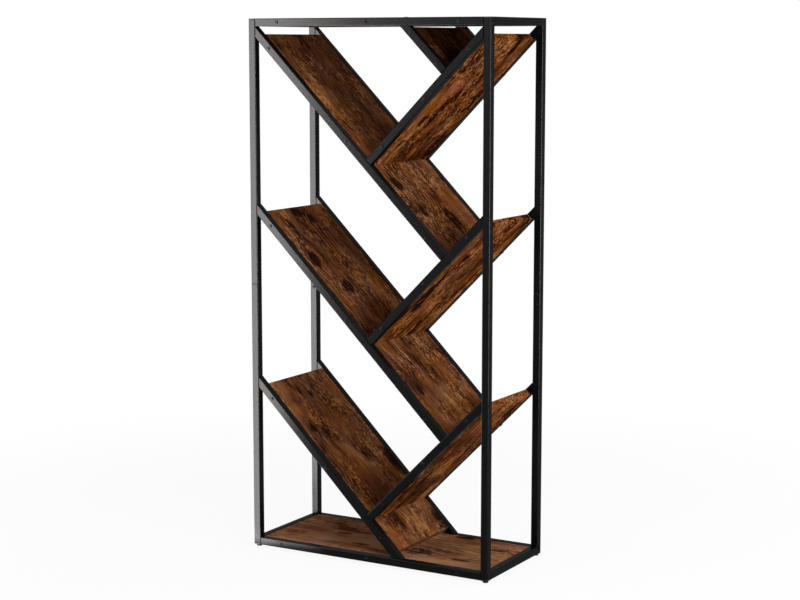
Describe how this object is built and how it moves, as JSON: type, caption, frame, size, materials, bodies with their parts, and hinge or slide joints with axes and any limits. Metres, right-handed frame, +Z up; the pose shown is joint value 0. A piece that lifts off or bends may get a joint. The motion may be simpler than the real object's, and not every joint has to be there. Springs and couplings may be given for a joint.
{
  "type": "tree bookshelf",
  "caption": "Free-standing open bookshelf: a black square-tube frame holds rustic brown boards that slant in from both sides and meet like the branches of a tree, on levelling feet.",
  "frame": {"origin": "on the floor below the middle of the shelf, centre of the bottom of its box", "axes": "+Z up along the posts, +X across the width, +Y from the front to the rear along the depth"},
  "size_m": [0.7, 0.304, 1.3913],
  "materials": {
    "black_coat": "satin black powder coat",
    "black_plastic": "moulded black plastic",
    "bare_steel": "bare zinc-plated steel, hidden inside the posts",
    "rustic_wood": "rustic brown wood-grain laminate, satin"
  },
  "bodies": {
    "frame": {"post_front_left_lower": "black_coat", "post_front_left_upper": "black_coat", "post_front_right_lower": "black_coat", "post_front_right_upper": "black_coat", "post_rear_left_lower": "black_coat", "post_rear_left_upper": "black_coat", "post_rear_right_lower": "black_coat", "post_rear_right_upper": "black_coat", "sleeve_front_left": "bare_steel", "sleeve_front_right": "bare_steel", "sleeve_rear_left": "bare_steel", "sleeve_rear_right": "bare_steel", "cap_front_left": "black_plastic", "cap_front_right": "black_plastic", "cap_rear_left": "black_plastic", "cap_rear_right": "black_plastic", "insert_front_left": "black_plastic", "insert_front_right": "black_plastic", "insert_rear_left": "black_plastic", "insert_rear_right": "black_plastic", "rail_top_front": "black_coat", "rail_top_rear": "black_coat", "rail_top_left": "black_coat", "rail_top_right": "black_coat", "rail_bottom_front": "black_coat", "rail_bottom_rear": "black_coat", "rail_bottom_left": "black_coat", "rail_bottom_right": "black_coat", "left_branch_1_rail_front": "black_coat", "left_branch_1_rail_rear": "black_coat", "left_branch_2_rail_front": "black_coat", "left_branch_2_rail_rear": "black_coat", "left_branch_3_rail_front": "black_coat", "left_branch_3_rail_rear": "black_coat", "right_branch_1_rail_front": "black_coat", "right_branch_1_rail_rear": "black_coat", "right_branch_2_rail_front": "black_coat", "right_branch_2_rail_rear": "black_coat", "right_branch_3_rail_front": "black_coat", "right_branch_3_rail_rear": "black_coat", "crown_branch_rail_front": "black_coat", "crown_branch_rail_rear": "black_coat", "left_branch_1_board": "rustic_wood", "left_branch_2_board": "rustic_wood", "left_branch_3_board": "rustic_wood", "right_branch_1_board": "rustic_wood", "right_branch_2_board": "rustic_wood", "right_branch_3_board": "rustic_wood", "crown_branch_board": "rustic_wood", "board_top": "rustic_wood", "board_bottom": "rustic_wood"},
    "foot_front_left": {"foot_front_left": "black_plastic"},
    "foot_front_right": {"foot_front_right": "black_plastic"},
    "foot_rear_left": {"foot_rear_left": "black_plastic"},
    "foot_rear_right": {"foot_rear_right": "black_plastic"}
  },
  "joints": [
    {"name": "foot_front_left_height", "type": "slide", "parent": "frame", "child": "foot_front_left", "axis": [0, 0, -1], "range_m": [0, 0.005]},
    {"name": "foot_front_right_height", "type": "slide", "parent": "frame", "child": "foot_front_right", "axis": [0, 0, -1], "range_m": [0, 0.005]},
    {"name": "foot_rear_left_height", "type": "slide", "parent": "frame", "child": "foot_rear_left", "axis": [0, 0, -1], "range_m": [0, 0.005]},
    {"name": "foot_rear_right_height", "type": "slide", "parent": "frame", "child": "foot_rear_right", "axis": [0, 0, -1], "range_m": [0, 0.005]}
  ]
}
